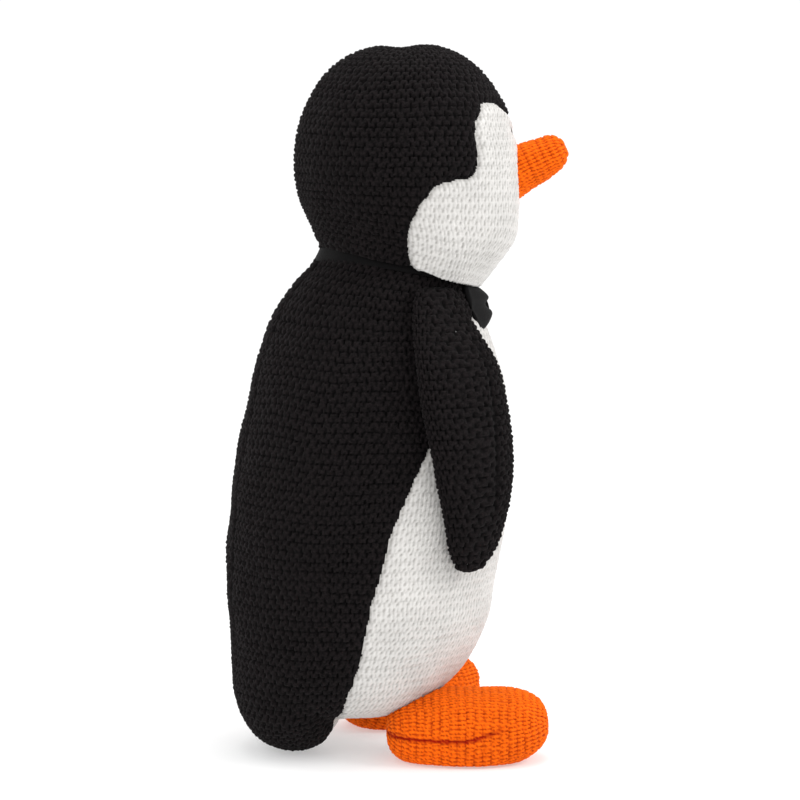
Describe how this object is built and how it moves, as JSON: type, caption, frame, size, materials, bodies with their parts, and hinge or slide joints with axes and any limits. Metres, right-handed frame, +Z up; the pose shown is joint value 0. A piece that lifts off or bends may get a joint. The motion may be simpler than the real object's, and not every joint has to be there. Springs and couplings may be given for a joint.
{
  "type": "plush penguin",
  "caption": "Standing hand-knitted plush penguin with a turning head, lifting flippers, drooping feet, a padded beak, a rounded tail and a fabric bow at the neck.",
  "frame": {"origin": "on the floor, under the middle of the standing toy's outline", "axes": "+Z up, the body faces -Y, its right side is -X"},
  "size_m": [0.1898, 0.1911, 0.4031],
  "materials": {
    "black_knit": "matte garter-stitch wool-like yarn, slightly fuzzy",
    "white_knit": "matte garter-stitch wool-like yarn, slightly fuzzy",
    "orange_knit": "matte garter-stitch wool-like yarn, slightly fuzzy",
    "black_ribbon": "smooth woven ribbon with a faint sheen",
    "embroidery": "satin-stitched cotton thread",
    "stuffing": "loose fibre"
  },
  "bodies": {
    "body": {"body_back": "black_knit", "belly_panel": "white_knit", "body_stuffing": "stuffing", "neck_ribbon": "black_ribbon", "bow_knot": "black_ribbon", "bow_wing_right": "black_ribbon", "bow_wing_left": "black_ribbon"},
    "head": {"head_hood": "black_knit", "face_panel": "white_knit", "head_stuffing": "stuffing", "beak_cover": "orange_knit", "beak_stuffing": "stuffing", "eye_right": "embroidery", "eye_left": "embroidery"},
    "flipper_right": {"flipper_cover_right": "black_knit", "flipper_stuffing_right": "stuffing"},
    "foot_right": {"foot_upper_right": "orange_knit", "foot_sole_right": "orange_knit", "foot_stuffing_right": "stuffing"},
    "flipper_left": {"flipper_cover_left": "black_knit", "flipper_stuffing_left": "stuffing"},
    "foot_left": {"foot_upper_left": "orange_knit", "foot_sole_left": "orange_knit", "foot_stuffing_left": "stuffing"}
  },
  "joints": [
    {"name": "head_turn", "type": "hinge", "parent": "body", "child": "head", "pos_m": [0, -0.0029, 0.279], "axis": [-0.0642, -0.1977, 0.9781], "range_deg": [-7, 43], "stiffness_Nm_per_rad": 0.3},
    {"name": "flipper_lift_right", "type": "hinge", "parent": "body", "child": "flipper_right", "pos_m": [-0.05, -0.0123, 0.2675], "axis": [-0.2588, 0.9659, 0], "range_deg": [0, 75]},
    {"name": "flipper_lift_left", "type": "hinge", "parent": "body", "child": "flipper_left", "pos_m": [0.05, -0.0123, 0.2675], "axis": [-0.2588, -0.9659, 0], "range_deg": [0, 75]},
    {"name": "foot_droop_right", "type": "hinge", "parent": "body", "child": "foot_right", "pos_m": [-0.03225, 0.01292, 0.022], "axis": [0.9511, -0.309, 0], "range_deg": [0, 30], "stiffness_Nm_per_rad": 0.25},
    {"name": "foot_droop_left", "type": "hinge", "parent": "body", "child": "foot_left", "pos_m": [0.03225, 0.01292, 0.022], "axis": [0.9511, 0.309, 0], "range_deg": [0, 30], "stiffness_Nm_per_rad": 0.25}
  ]
}
